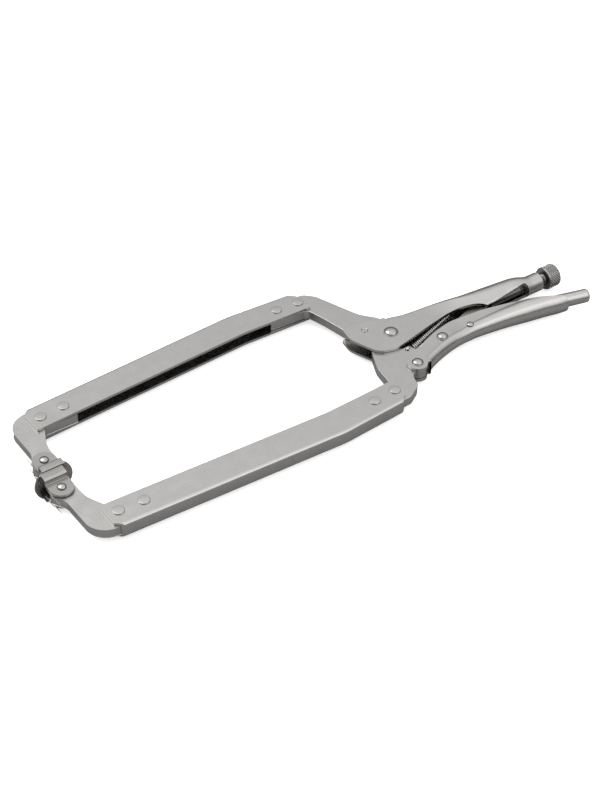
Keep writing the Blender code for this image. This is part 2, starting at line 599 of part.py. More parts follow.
def make_spring(clamp):
    """The extension spring between the moving jaw's nose and the tab inside the fixed handle."""
    hook, anchor = Vector((*SPRING_HOOK, 0)), Vector((*SPRING_ANCHOR, 0))
    along = (anchor - hook).normalized()
    across = Vector((-along.y, along.x, 0))
    reach = (anchor - hook).length
    start, end = 7.5 * MM, reach - 6 * MM
    side = PLATE / 2 + FIT + SPRING_WIRE
    # the hook goes through the jaw's hole and along its near face
    hooked = [(2.4, -1), (0, -1), (0, 1), (4.4, 1), (6.2, 0.8)]
    points = [hook + along * (far * MM) + Vector((0, 0, side * out)) for far, out in hooked]
    steps = SPRING_TURNS * 8
    for i in range(steps + 1):
        angle = 2 * math.pi * i / 8
        offset = across * (SPRING_RADIUS * math.sin(angle)) + Vector((0, 0, SPRING_RADIUS * math.cos(angle)))
        points.append(hook + along * (start + (end - start) * i / steps) + offset)
    points.append(hook + along * (end + 1.5 * MM))
    points.append(hook + along * (reach - 1.6 * MM))
    curve = bpy.data.curves.new("jaw_spring", "CURVE")
    curve.dimensions = "3D"
    curve.bevel_depth = SPRING_WIRE
    curve.bevel_resolution = 2
    curve.use_fill_caps = True
    spline = curve.splines.new("POLY")
    spline.points.add(len(points) - 1)
    for point, place in zip(spline.points, points):
        point.co = (*place, 1)
    drawn = add_object("spring_path", curve, clamp.parts)
    graph = bpy.context.evaluated_depsgraph_get()
    mesh = bpy.data.meshes.new_from_object(drawn.evaluated_get(graph))
    bpy.data.objects.remove(drawn)
    form = bmesh.new()
    form.from_mesh(mesh)
    bmesh.ops.remove_doubles(form, verts=form.verts, dist=1e-6)
    form.to_mesh(mesh)
    form.free()
    return add_object("jaw_spring", mesh, clamp.parts)


def make_clamp():
    clear_scene()
    clamp = Clamp()
    thick = CHANNEL
    for side in (Side("fixed", 1, 0), Side("moving", -1, MOVING_SHIFT)):
        far = side.rivets()[0]
        clamp.finish(make_arm(clamp, side), clamp.sheet_steel, far)
        clamp.finish(make_far_jaw(clamp, side), clamp.forged_steel, far)
        clamp.finish(make_pad(clamp, side), clamp.sheet_steel, side.pad_pivot())
        for i, place in enumerate(side.rivets(), 1):
            clamp.rivet(f"{side.name}_arm_rivet_{i}", place, ARM_RIVET, thick)
        clamp.rivet(f"{side.name}_pad_rivet", side.pad_pivot(), PAD_RIVET, thick)
    fixed_jaw, moving_jaw = make_fixed_jaw(clamp), make_moving_jaw(clamp)
    clamp.drill(fixed_jaw, Side("fixed", 1, 0).rivets()[2:], ARM_RIVET[0])
    clamp.drill(moving_jaw, Side("moving", -1, MOVING_SHIFT).rivets()[2:], ARM_RIVET[0])
    clamp.finish(fixed_jaw, clamp.forged_steel, (0, 0))
    clamp.finish(moving_jaw, clamp.forged_steel, (0, 0))
    clamp.finish(make_fixed_handle(clamp), clamp.sheet_steel, (0, 0))
    clamp.finish(make_moving_handle(clamp), clamp.sheet_steel, JAW_PIVOT)
    clamp.finish(make_toggle_link(clamp), clamp.forged_steel, TOGGLE_PIVOT)
    clamp.finish(make_release_lever(clamp), clamp.forged_steel, RELEASE_PIVOT)
    clamp.finish(make_screw(clamp), clamp.screw_steel, (SCREW_TIP, SCREW_Y))
    clamp.finish(make_knob(clamp), clamp.sheet_steel, (KNOB_START, SCREW_Y))
    clamp.finish(make_spring(clamp), clamp.spring_steel, SPRING_ANCHOR)
    clamp.rivet("main_pivot_rivet", (0, 0), MAIN_RIVET, thick)
    clamp.rivet("fixed_jaw_rivet", STAKE, STAKE_RIVET, thick)
    clamp.rivet("handle_pivot_rivet", JAW_PIVOT, LINKAGE_RIVET, thick)
    clamp.rivet("link_rivet", TOGGLE_PIVOT, LINKAGE_RIVET, thick)
    clamp.rivet("lever_rivet", RELEASE_PIVOT, RELEASE_RIVET, 2 * 6.4 * MM)
    bpy.context.view_layer.update()
    graph = bpy.context.evaluated_depsgraph_get()
    corners = []
    for obj in clamp.parts.objects:
        if obj.type == "MESH":
            shown = obj.evaluated_get(graph)
            corners += [shown.matrix_world @ Vector(corner) for corner in shown.bound_box]
    low = [min(corner[i] for corner in corners) for i in range(3)]
    high = [max(corner[i] for corner in corners) for i in range(3)]
    clamp.frame.location = (-(low[0] + high[0]) / 2, -(low[1] + high[1]) / 2, -low[2])


make_clamp()
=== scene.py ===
"""Finished look of a pair of long-reach locking clamp pliers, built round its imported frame."""

import json
import math

import bmesh
import bpy
from mathutils import Matrix, Vector


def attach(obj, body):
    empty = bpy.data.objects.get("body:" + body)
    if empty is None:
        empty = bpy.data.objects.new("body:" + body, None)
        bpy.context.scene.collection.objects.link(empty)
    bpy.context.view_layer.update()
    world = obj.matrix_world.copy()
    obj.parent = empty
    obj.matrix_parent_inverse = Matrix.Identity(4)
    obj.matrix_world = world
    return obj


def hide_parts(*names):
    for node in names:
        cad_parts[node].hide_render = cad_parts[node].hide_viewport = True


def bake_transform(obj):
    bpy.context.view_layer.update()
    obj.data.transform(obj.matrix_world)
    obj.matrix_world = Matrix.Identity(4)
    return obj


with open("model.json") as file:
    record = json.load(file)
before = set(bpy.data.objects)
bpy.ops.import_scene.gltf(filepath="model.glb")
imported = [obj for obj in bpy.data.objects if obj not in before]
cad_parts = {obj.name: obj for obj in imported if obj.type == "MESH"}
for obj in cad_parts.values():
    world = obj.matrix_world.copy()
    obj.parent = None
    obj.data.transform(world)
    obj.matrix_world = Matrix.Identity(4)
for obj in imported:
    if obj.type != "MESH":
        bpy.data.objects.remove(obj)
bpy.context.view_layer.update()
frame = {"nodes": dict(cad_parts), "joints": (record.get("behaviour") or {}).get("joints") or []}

bl_info = {
    "name": "Locking Clamp Pliers",
    "version": (1, 0, 0),
    "blender": (4, 5, 0),
    "location": "3D View > Sidebar > Clamp",
    "description": "Builds the finished pieces of a long-reach locking clamp, its stage and its lights",
    "category": "Object",
}

MM = 0.001
PIVOT = Vector(next(joint["pos_m"] for joint in frame["joints"] if joint["name"] == "jaw_swing"))

# The frame's own sizes, which its solids and joints share: millimetres from the main pivot
CHANNEL_HALF = 6.0
PLATE_HALF = 3.7
JAW_PIVOT = (-6.2, -40.3)
TOGGLE_PIVOT = (28.2, -26.5)
RELEASE_PIVOT = (54.2, -27.5)
SPRING_HOOK = (-1.7, -21.9)
SPRING_ANCHOR = (58.0, -1.0)
STAKE = (-15.0, 13.0)
SCREW_Y = -8.6
SCREW_TIP = 89.5
NECK_END, KNOB_START, KNOB_END = 138.5, 144.0, 155.5
CENTRE_Y, REACH, MOVING_SHIFT, THROAT_HALF = 7.25, 262.3, 3.2, 57.05
ARM_SPREAD = math.radians(1.56)
RIVET_PITCH, RIVET_SPAN, KINK = 19.0, 226.2, 172.0
BEND_EASE = 9  # how far the arms' bend runs each way from its middle
PAD_PIVOT = (-19.6, -41.7)
PAD_GAP, PAD_RADIUS, PAD_SHEET = 0.9, 13.6, 1.8
PAD_TAB, PAD_BOX, PAD_STEP, EAR_RADIUS = 17.0, 10.4, 7.3, 8.5


# Sizes and colours that a user would change


def length(name, about, value, low, high):
    """A length property, given here in millimetres and held in metres."""
    value, low, high = value * MM, low * MM, high * MM
    return bpy.props.FloatProperty(
        name=name, description=about, default=value, min=low, max=high, precision=5, unit="LENGTH"
    )


def linear(hex_value):
    """An sRGB hex value as the linear colour that a shader takes."""
    parts = [int(hex_value[i : i + 2], 16) / 255 for i in (1, 3, 5)]
    return [c / 12.92 if c <= 0.04045 else ((c + 0.055) / 1.055) ** 2.4 for c in parts] + [1.0]


def colour(name, about, value):
    """A colour property, given here as an sRGB hex value."""
    return bpy.props.FloatVectorProperty(
        name=name, description=about, default=linear(value), size=4, min=0, max=1, subtype="COLOR"
    )


class ClampSizes(bpy.types.PropertyGroup):
    sheet: length("Sheet", "Thickness of the pressed sheet", 2.0, 1.2, 2.0)
    plate_edge: length("Plate edge", "Rounding of the forged plates' edges", 0.45, 0.1, 1.5)
    sheet_edge: length("Sheet edge", "Rounding of the pressed sheet's edges", 0.3, 0.05, 0.6)
    bend: length("Arm bend", "Outer radius of the arms' folded corners", 2.5, 2.2, 5.0)
    wire: length("Spring wire", "Radius of the spring's wire", 0.38, 0.2, 0.45)
    coil: length("Spring coil", "Radius of the spring to its wire's middle", 2.1, 1.5, 2.2)
    # a close-wound coil's turns are too fine to show, so they are drawn a little apart
    coil_pitch: length("Spring pitch", "Distance between the spring's turns", 1.9, 1.0, 2.5)
    thread_pitch: length("Thread pitch", "Pitch of the adjusting screw", 1.25, 0.8, 2.0)
    knurl_depth: length("Knurl depth", "Depth of the knob's diamond knurl", 0.6, 0.1, 0.8)
    # how many ridges the knurl has is a guess, drawn as coarse as it needs to show
    knurl_count: bpy.props.IntProperty(
        name="Knurl ridges", description="Ridges of each hand round the knob", default=22, min=12, max=80
    )


class ClampColours(bpy.types.PropertyGroup):
    sheet: colour("Plated sheet", "Satin nickel plate on the pressed sheet", "#B7B5B3")
    forging: colour("Plated forging", "Satin nickel plate on the forged plates", "#B5B3B1")
    rivet: colour("Rivet heads", "Bright rivet heads", "#A9A7A5")
    spring: colour("Spring wire", "Drawn spring wire", "#DAD8D6")
    screw: colour("Screw", "Machined screw", "#757371")
    pad: colour("Pads", "Satin plate on the pads, a little duller", "#A3A19F")
    knob: colour("Knob", "Plate on the knurled knob", "#9A9896")
    hidden: colour("Link", "Plain link inside the handles", "#8A8884")
    floor: colour("Floor", "Pale floor", "#FBFBFB")


class StageSettings(bpy.types.PropertyGroup):
    key: bpy.props.FloatProperty(
        name="Key light", description="Power of the large soft light", default=13.0, min=0, unit="POWER"
    )
    fill: bpy.props.FloatProperty(
        name="Fill light", description="Power of the side light", default=4.0, min=0, unit="POWER"
    )
    sky: bpy.props.FloatProperty(
        name="Surround", description="Brightness of the surround", default=1.42, min=0
    )


# Materials


def node(tree, kind, links=None, **values):
    """Adds a node, sets its options and its input values, and links inputs from other nodes' outputs."""
    made = tree.nodes.new(kind)
    inputs = values.pop("inputs", {})
    for key, value in values.items():
        setattr(made, key, value)
    for key, value in inputs.items():
        made.inputs[key].default_value = value
    for key, source in (links or {}).items():
        tree.links.new(source, made.inputs[key])
    return made


def metal(name, tone, roughness, grain, bump, stains=0.04):
    """Plated or plain steel. grain is how far the finishing marks run along X, Y and Z, in mm."""
    material = bpy.data.materials.new(name)
    material.use_nodes = True
    tree = material.node_tree
    shader = tree.nodes["Principled BSDF"]
    shader.inputs["Metallic"].default_value = 1.0
    place = node(tree, "ShaderNodeTexCoord").outputs["Object"]
    stretch = [1 / (run * MM) for run in grain]
    along = node(tree, "ShaderNodeMapping", {"Vector": place}, inputs={"Scale": stretch})
    marks = node(
        tree, "ShaderNodeTexNoise", {"Vector": along.outputs[0]}, inputs={"Scale": 1.0, "Detail": 4.0}
    )
    # clouds about 9 mm across and grit about 0.6 mm
    cloud = node(tree, "ShaderNodeTexNoise", {"Vector": place}, inputs={"Scale": 110.0, "Detail": 5.0})
    fine = node(tree, "ShaderNodeTexNoise", {"Vector": place}, inputs={"Scale": 1800.0, "Detail": 3.0})
    tint = node(tree, "ShaderNodeMix", {"Factor": cloud.outputs["Fac"]}, data_type="RGBA")
    tint.inputs["A"].default_value = [c * (1 - 2 * stains) for c in tone[:3]] + [1]
    tint.inputs["B"].default_value = [min(1, c * (1 + 2 * stains)) for c in tone[:3]] + [1]
    tree.links.new(tint.outputs["Result"], shader.inputs["Base Color"])
    both = node(
        tree, "ShaderNodeMath", {0: marks.outputs["Fac"], 1: cloud.outputs["Fac"]}, operation="ADD"
    )
    rough = node(tree, "ShaderNodeMapRange", {"Value": both.outputs[0]})
    rough.inputs["From Min"].default_value, rough.inputs["From Max"].default_value = 0.6, 1.4
    rough.inputs["To Min"].default_value = roughness - 0.06
    rough.inputs["To Max"].default_value = roughness + 0.06
    tree.links.new(rough.outputs[0], shader.inputs["Roughness"])
    height = node(
        tree, "ShaderNodeMath", {0: marks.outputs["Fac"], 1: fine.outputs["Fac"]}, operation="ADD"
    )
    relief = node(
        tree, "ShaderNodeBump", {"Height": height.outputs[0]}, inputs={"Strength": bump, "Distance": 0.00004}
    )
    tree.links.new(relief.outputs[0], shader.inputs["Normal"])
    return material


def build_materials(colours):
    """Each finish by its plain name."""
    return {
        # cold-rolled sheet, pressed, tumbled and nickel plated: faint marks along the sheet
        "sheet": metal("plated_sheet", colours.sheet, 0.27, (9.0, 0.5, 0.5), 0.18),
        # forged plate, tumbled and nickel plated: an even pebbled skin
        "forging": metal("plated_forging", colours.forging, 0.29, (1.0, 0.8, 1.0), 0.35),
        # the same plate on the pads, dulled by use
        "pad": metal("plated_pad", colours.pad, 0.28, (1.2, 0.8, 0.8), 0.4),
        # plate over the knob's rolled knurl
        "knob": metal("plated_knob", colours.knob, 0.3, (0.6, 0.6, 0.6), 0.2),
        # upset rivet heads, bright from the die
        "rivet": metal("rivet_head", colours.rivet, 0.16, (1.0, 1.0, 1.0), 0.08, 0.02),
        # arm rivets are pressed nearly flush and plated with the arm
        "flush_rivet": metal("flush_rivet_head", colours.sheet, 0.24, (1.0, 1.0, 1.0), 0.3),
        # drawn wire
        "spring": metal("spring_wire", colours.spring, 0.25, (0.6, 0.3, 0.3), 0.1),
        # turned and rolled screw steel
        "screw": metal("screw_steel", colours.screw, 0.32, (0.2, 1.5, 1.5), 0.2),
        # blanked link, plain
        "hidden": metal("link_steel", colours.hidden, 0.42, (2.0, 2.0, 1.0), 0.4),
    }


# Shapes. Everything is drawn in millimetres about the main pivot, and placed at the end.


def evaluated(obj):
    bpy.context.view_layer.update()
    graph = bpy.context.evaluated_depsgraph_get()
    return bpy.data.meshes.new_from_object(obj.evaluated_get(graph))


def link_new(name, data):
    obj = bpy.data.objects.new(name, data)
    bpy.context.scene.collection.objects.link(obj)
    return obj


def edit(mesh, work):
    form = bmesh.new()
    form.from_mesh(mesh)
    work(form)
    form.to_mesh(mesh)
    form.free()


def weld(mesh, distance=2e-4):
    """Joins points that lie together, in mm, and turns every face outwards."""

    def work(form):
        bmesh.ops.remove_doubles(form, verts=form.verts, dist=distance)
        bmesh.ops.dissolve_degenerate(form, dist=distance, edges=form.edges)
        bmesh.ops.recalc_face_normals(form, faces=form.faces)

    edit(mesh, work)


def settled(obj):
    """The object's modifiers made real: its mesh becomes what they make of it."""
    mesh = evaluated(obj)
    obj.modifiers.clear()
    obj.data = mesh
    weld(mesh)
    return obj


def boolean(obj, cutter, operation="DIFFERENCE"):
    modifier = obj.modifiers.new(operation, "BOOLEAN")
    modifier.operation, modifier.object, modifier.solver = operation, cutter, "EXACT"
    settled(obj)
    bpy.data.objects.remove(cutter)
    return obj


def softened(obj, width, angle=35, segments=2):
    """Rounds every edge that is sharper than the angle."""
    modifier = obj.modifiers.new("Edges", "BEVEL")
    modifier.width, modifier.segments = width, segments
    modifier.limit_method, modifier.angle_limit = "ANGLE", math.radians(angle)
    modifier.use_clamp_overlap = True
    modifier.miter_outer = "MITER_ARC"
    return settled(obj)


def placed(obj, material, body, nodes, smooth_angle=50):
    """Shades a finished piece, sets it in the frame and hides the frame's pieces that it stands for."""
    mesh = obj.data
    mesh.materials.clear()
    mesh.materials.append(material)
    mesh.shade_smooth()
    mesh.set_sharp_from_angle(angle=math.radians(smooth_angle))
    modifier = obj.modifiers.new("Normals", "WEIGHTED_NORMAL")
    modifier.keep_sharp = True
    obj.data = evaluated(obj)
    obj.modifiers.clear()
    obj.data.transform(Matrix.Translation(PIVOT) @ Matrix.Scale(MM, 4))
    if body:
        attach(obj, body)
    if nodes:
        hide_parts(*nodes)
    return obj


def rounded(corners, steps=14):
    """A closed outline from (x, y, radius) corners, each rounded by an arc that touches both its sides."""
    points = []
    for i, (x, y, radius) in enumerate(corners):
        here = Vector((x, y))
        before = (Vector(corners[i - 1][:2]) - here).normalized()
        after = (Vector(corners[(i + 1) % len(corners)][:2]) - here).normalized()
        half = before.angle(after) / 2
        if radius == 0 or half > math.radians(89.5):
            points.append((x, y))
            continue
        centre = here + (before + after).normalized() * radius / math.sin(half)
        first = here + before * radius / math.tan(half)
        last = here + after * radius / math.tan(half)
        start = math.atan2(first.y - centre.y, first.x - centre.x)
        turn = math.atan2(last.y - centre.y, last.x - centre.x) - start
        turn = (turn + math.pi) % (2 * math.pi) - math.pi
        count = max(2, round(steps * abs(turn) / 1.6))
        for step in range(count + 1):
            angle = start + turn * step / count
            points.append((centre.x + radius * math.cos(angle), centre.y + radius * math.sin(angle)))
    return points


def arc(centre, radius, start, end, steps=24):
    angles = [math.radians(start + (end - start) * i / steps) for i in range(steps + 1)]
    return [(centre[0] + radius * math.cos(a), centre[1] + radius * math.sin(a), 0) for a in angles]


def plate(name, outline, bottom, top, edge=0.0, holes=()):
    """A flat piece with its outline filled, rounded along its edges, and with round (x, y, radius) holes."""
    curve = bpy.data.curves.new(name, "CURVE")
    curve.dimensions, curve.fill_mode = "2D", "BOTH"
    curve.extrude = (top - bottom) / 2 - edge
    curve.bevel_depth, curve.bevel_resolution, curve.offset = edge, 2, -edge
    rings = [outline] + [[(px, py) for px, py, _ in arc((x, y), r, 0, 360 - 11.25, 31)] for x, y, r in holes]
    for ring in rings:
        spline = curve.splines.new("POLY")
        spline.points.add(len(ring) - 1)
        for point, (x, y) in zip(spline.points, ring):
            point.co = (x, y, 0, 1)
        spline.use_cyclic_u = True
    drawn = link_new(name + "_outline", curve)
    mesh = evaluated(drawn)
    bpy.data.objects.remove(drawn)
    mesh.transform(Matrix.Translation((0, 0, (top + bottom) / 2)))
    weld(mesh)
    return link_new(name, mesh)


def loft(name, rings):
    """A closed solid through rings of matching points."""
    form = bmesh.new()
    loops = [[form.verts.new(point) for point in ring] for ring in rings]
    count = len(rings[0])
    for one, other in zip(loops, loops[1:]):
        for i in range(count):
            j = (i + 1) % count
            form.faces.new((one[i], one[j], other[j], other[i]))
    form.faces.new(loops[0])
    form.faces.new(list(reversed(loops[-1])))
    bmesh.ops.recalc_face_normals(form, faces=form.faces)
    mesh = bpy.data.meshes.new(name)
    form.to_mesh(mesh)
    form.free()
    return link_new(name, mesh)


def turned(name, profile, axis="Z", steps=64):
    """A profile of (radius, height) points, from the top of its axis to the bottom, turned about Z or X."""
    mesh = bpy.data.meshes.new(name)
    mesh.from_pydata([(r, 0, h) for r, h in profile], [(i, i + 1) for i in range(len(profile) - 1)], [])
    obj = link_new(name, mesh)
    screw = obj.modifiers.new("Turn", "SCREW")
    screw.steps = screw.render_steps = steps
    screw.use_merge_vertices, screw.merge_threshold = True, 1e-4
    settled(obj)
    if axis == "X":
        obj.data.transform(Matrix.Rotation(math.pi / 2, 4, "Y"))
    return obj


def box(name, low, high):
    form = bmesh.new()
    bmesh.ops.create_cube(form, size=1)
    span, middle = Vector(high) - Vector(low), (Vector(high) + Vector(low)) / 2
    stretch = Matrix.Translation(middle) @ Matrix.Diagonal((*span, 1))
    bmesh.ops.transform(form, matrix=stretch, verts=form.verts)
    mesh = bpy.data.meshes.new(name)
    form.to_mesh(mesh)
    form.free()
    return link_new(name, mesh)


class Side:
    """One arm's frame: u runs from its far rivet towards the handle, and v away from the throat."""

    def __init__(self, name, sign, shift):
        self.name, self.sign, self.shift = name, sign, shift
        self.body = "fixed_frame" if sign > 0 else "moving_jaw"

    def flat(self, x, s):
        return (-REACH - self.shift + x, CENTRE_Y + self.sign * (THROAT_HALF + s))

    def along(self, u, v):
        c, s = math.cos(ARM_SPREAD), math.sin(ARM_SPREAD)
        return self.flat(u * c - v * s, u * s + v * c)

    def rivets(self):
        near = RIVET_SPAN - RIVET_PITCH
        return [self.along(*place) for place in ((0, 0), (RIVET_PITCH, 0.7), (near, 1.9), (RIVET_SPAN, 0))]

    def back(self, u):
        """From the rivet line to the web's outer face."""
        return 13.9 + 4.5 * u / KINK if u < KINK else 18.4 - 5.0 * (u - KINK) / (RIVET_SPAN - KINK)

    def open_edge(self, u):
        return -10.8 + 4.3 * u / KINK if u < KINK else -6.5 - 3.7 * (u - KINK) / (RIVET_SPAN - KINK)

    def pad_pivot(self):
        return self.flat(*PAD_PIVOT)


SIDES = (Side("fixed", 1, 0), Side("moving", -1, MOVING_SHIFT))


# Geometry nodes


def node_tree(name, sockets):
    """A geometry tree with a Geometry input and output and the named inputs, and its two end nodes."""
    tree = bpy.data.node_groups.new(name, "GeometryNodeTree")
    tree.interface.new_socket("Geometry", in_out="INPUT", socket_type="NodeSocketGeometry")
    tree.interface.new_socket("Geometry", in_out="OUTPUT", socket_type="NodeSocketGeometry")
    for socket, kind in sockets:
        tree.interface.new_socket(socket, in_out="INPUT", socket_type="NodeSocket" + kind)
    return tree, tree.nodes.new("NodeGroupInput"), tree.nodes.new("NodeGroupOutput")


def grown(name, mesh, tree, values):
    """A mesh made by running a geometry tree over another, with the tree's inputs set by name."""
    obj = link_new(name, mesh)
    modifier = obj.modifiers.new("Nodes", "NODES")
    modifier.node_group = tree
    for item in tree.interface.items_tree:
        if item.in_out == "INPUT" and item.name in values:
            modifier[item.identifier] = values[item.name]
    return settled(obj)


def end_tree(tree, outlet, geometry, material):
    """Realises the instances, sets the material and reaches the output."""
    real = node(tree, "GeometryNodeRealizeInstances", {"Geometry": geometry})
    coated = node(tree, "GeometryNodeSetMaterial", {"Geometry": real.outputs[0], "Material": material})
    tree.links.new(coated.outputs[0], outlet.inputs["Geometry"])


def coil_tree(name):
    """A wire wound round Z: turns, radius, height and the wire's own radius and facets."""
    tree, inlet, outlet = node_tree(
        name,
        (("Turns", "Float"), ("Radius", "Float"), ("Height", "Float"), ("Wire", "Float"), ("Facets", "Int"),
         ("Steps", "Int"), ("Material", "Material")),
    )
    get = inlet.outputs
    path = node(
        tree,
        "GeometryNodeCurveSpiral",
        {"Resolution": get["Steps"], "Rotations": get["Turns"], "Start Radius": get["Radius"],
         "End Radius": get["Radius"], "Height": get["Height"]},
    )
    ring = node(
        tree, "GeometryNodeCurvePrimitiveCircle", {"Radius": get["Wire"], "Resolution": get["Facets"]}
    )
    tube = node(
        tree, "GeometryNodeCurveToMesh", {"Curve": path.outputs[0], "Profile Curve": ring.outputs[0]},
        inputs={"Fill Caps": True},
    )
    end_tree(tree, outlet, tube.outputs[0], get["Material"])
    return tree


def scatter_tree():
    """A copy of one piece at every point of a mesh."""
    tree, inlet, outlet = node_tree("rivet_row", (("Rivet", "Object"), ("Material", "Material")))
    rivet = node(tree, "GeometryNodeObjectInfo", {"Object": inlet.outputs["Rivet"]})
    copies = node(
        tree,
        "GeometryNodeInstanceOnPoints",
        {"Points": inlet.outputs["Geometry"], "Instance": rivet.outputs["Geometry"]},
    )
    end_tree(tree, outlet, copies.outputs["Instances"], inlet.outputs["Material"])
    return tree


def knurl_tree():
    """Pushes the points of a sleeve round X in by two crossing sets of helical grooves."""
    tree, inlet, outlet = node_tree(
        "diamond_knurl",
        (("Ridges", "Float"), ("Depth", "Float"), ("Slant", "Float"), ("Material", "Material")),
    )
    get = inlet.outputs
    where = node(tree, "ShaderNodeSeparateXYZ", {0: node(tree, "GeometryNodeInputPosition").outputs[0]})
    angle = node(tree, "ShaderNodeMath", {0: where.outputs["Z"], 1: where.outputs["Y"]}, operation="ARCTAN2")
    turn = node(tree, "ShaderNodeMath", {0: angle.outputs[0]}, operation="DIVIDE", inputs={1: 2 * math.pi})
    round_it = node(tree, "ShaderNodeMath", {0: turn.outputs[0], 1: get["Ridges"]}, operation="MULTIPLY")
    slide = node(tree, "ShaderNodeMath", {0: where.outputs["X"], 1: get["Slant"]}, operation="MULTIPLY")
    ridges = []
    for operation in ("ADD", "SUBTRACT"):
        crossing = node(
            tree, "ShaderNodeMath", {0: round_it.outputs[0], 1: slide.outputs[0]}, operation=operation
        )
        wave = node(tree, "ShaderNodeMath", {0: crossing.outputs[0]}, operation="PINGPONG", inputs={1: 0.5})
        ridges.append(wave.outputs[0])
    low = node(tree, "ShaderNodeMath", {0: ridges[0], 1: ridges[1]}, operation="MINIMUM")
    depth = node(tree, "ShaderNodeMapRange", {"Value": low.outputs[0]})
    depth.inputs["From Min"].default_value, depth.inputs["From Max"].default_value = 0.04, 0.3
    depth.inputs["To Min"].default_value, depth.inputs["To Max"].default_value = -1.0, 0.0
    push = node(tree, "ShaderNodeMath", {0: depth.outputs[0], 1: get["Depth"]}, operation="MULTIPLY")
    out = node(tree, "ShaderNodeCombineXYZ", {"Y": where.outputs["Y"], "Z": where.outputs["Z"]})
    outward = node(tree, "ShaderNodeVectorMath", {0: out.outputs[0]}, operation="NORMALIZE")
    offset = node(
        tree, "ShaderNodeVectorMath", {0: outward.outputs[0], "Scale": push.outputs[0]}, operation="SCALE"
    )
    moved = node(
        tree, "GeometryNodeSetPosition", {"Geometry": get["Geometry"], "Offset": offset.outputs[0]}
    )
    end_tree(tree, outlet, moved.outputs[0], get["Material"])
    return tree


# Pieces


FINISH = {}


def size_of(name):
    """One of the user's lengths, in millimetres."""
    return round(getattr(bpy.context.scene.clamp_sizes, name) / MM, 4)


class CLAMP_OT_arms(bpy.types.Operator):
    """Presses the two channel arms, open towards the throat and bent near the handles"""

    bl_idname = "clamp.arms"
    bl_label = "Channel arms"

    def execute(self, context):
        for side in SIDES:
            self.press(side)
        return {"FINISHED"}

    def ring(self, side, u):
        half, sheet, bend, swell = CHANNEL_HALF, size_of("sheet"), size_of("bend"), 0.45
        back, edge, inner = side.back(u), side.open_edge(u) - 6, half - sheet
        if abs(u - KINK) < BEND_EASE:  # the bend near the handles is an easy curve
            t = (u - KINK + BEND_EASE) / (2 * BEND_EASE)
            back = (1 - t) * side.back(KINK - BEND_EASE) + t * side.back(KINK + BEND_EASE)
            back += 4 * t * (1 - t) * swell
        outside = rounded([(edge, half, 0), (back, half, bend), (back, -half, bend), (edge, -half, 0)])
        deep, small = back - sheet, bend - sheet
        inside = rounded([(edge, -inner, 0), (deep, -inner, small), (deep, inner, small), (edge, inner, 0)])
        return [(*side.along(u, v), z) for v, z in outside + inside]

    def press(self, side):
        bend = [KINK + step for step in range(-BEND_EASE, BEND_EASE + 1, 3)]
        stations = [-12, *bend, RIVET_SPAN + 20]
        arm = loft(f"{side.name}_channel_arm", [self.ring(side, u) for u in stations])
        far, near = -8.2, RIVET_SPAN
        corners = [
            (far, side.open_edge(far), 1.2),
            (far, side.back(far) - 5, 0.8),
            (far + 6, side.back(far) + 0.3, 0.8),
            (far + 6, 60, 0),
            (near - 2.5, 60, 0),
            (near - 2.5, side.back(near) + 0.3, 2),
            (near + 4.2, side.back(near) - 6.5, 2),
            (near + 5, side.open_edge(near), 1),
            (KINK, side.open_edge(KINK), 60),
        ]
        outline = rounded([(*side.along(u, v), radius) for u, v, radius in corners])
        boolean(arm, plate("arm_trim", outline, -20, 20), "INTERSECT")
        softened(arm, size_of("sheet_edge"))
        placed(arm, FINISH["sheet"], side.body, [f"{side.name}_arm"])


class CLAMP_OT_far_jaws(bpy.types.Operator):
    """Forges the two hooks that carry the pads"""

    bl_idname = "clamp.far_jaws"
    bl_label = "Far jaws"

    def execute(self, context):
        for side in SIDES:
            tang_end, top, low = RIVET_PITCH + 5.4, 11.2, -9.7
            eye_x, eye_y, eye = *PAD_PIVOT, 8.6
            corners = [
                (tang_end, low, 0.5),
                (tang_end, top + 0.3, 0.5),
                (-22.3, top, 16),
                (-22.6, -30, 14),
                (eye_x - eye, eye_y + 2, 8),
                (eye_x - eye, eye_y - eye, eye),
                (eye_x + eye, eye_y - eye, eye),
                (-10.6, -27, 30),
                (-2.6, low, 5),
            ]
            outline = rounded([(*side.flat(x, s), radius) for x, s, radius in corners])
            jaw = plate(f"{side.name}_hook", outline, -PLATE_HALF, PLATE_HALF, size_of("plate_edge"))
            placed(jaw, FINISH["forging"], side.body, [f"{side.name}_far_jaw"])
        return {"FINISHED"}


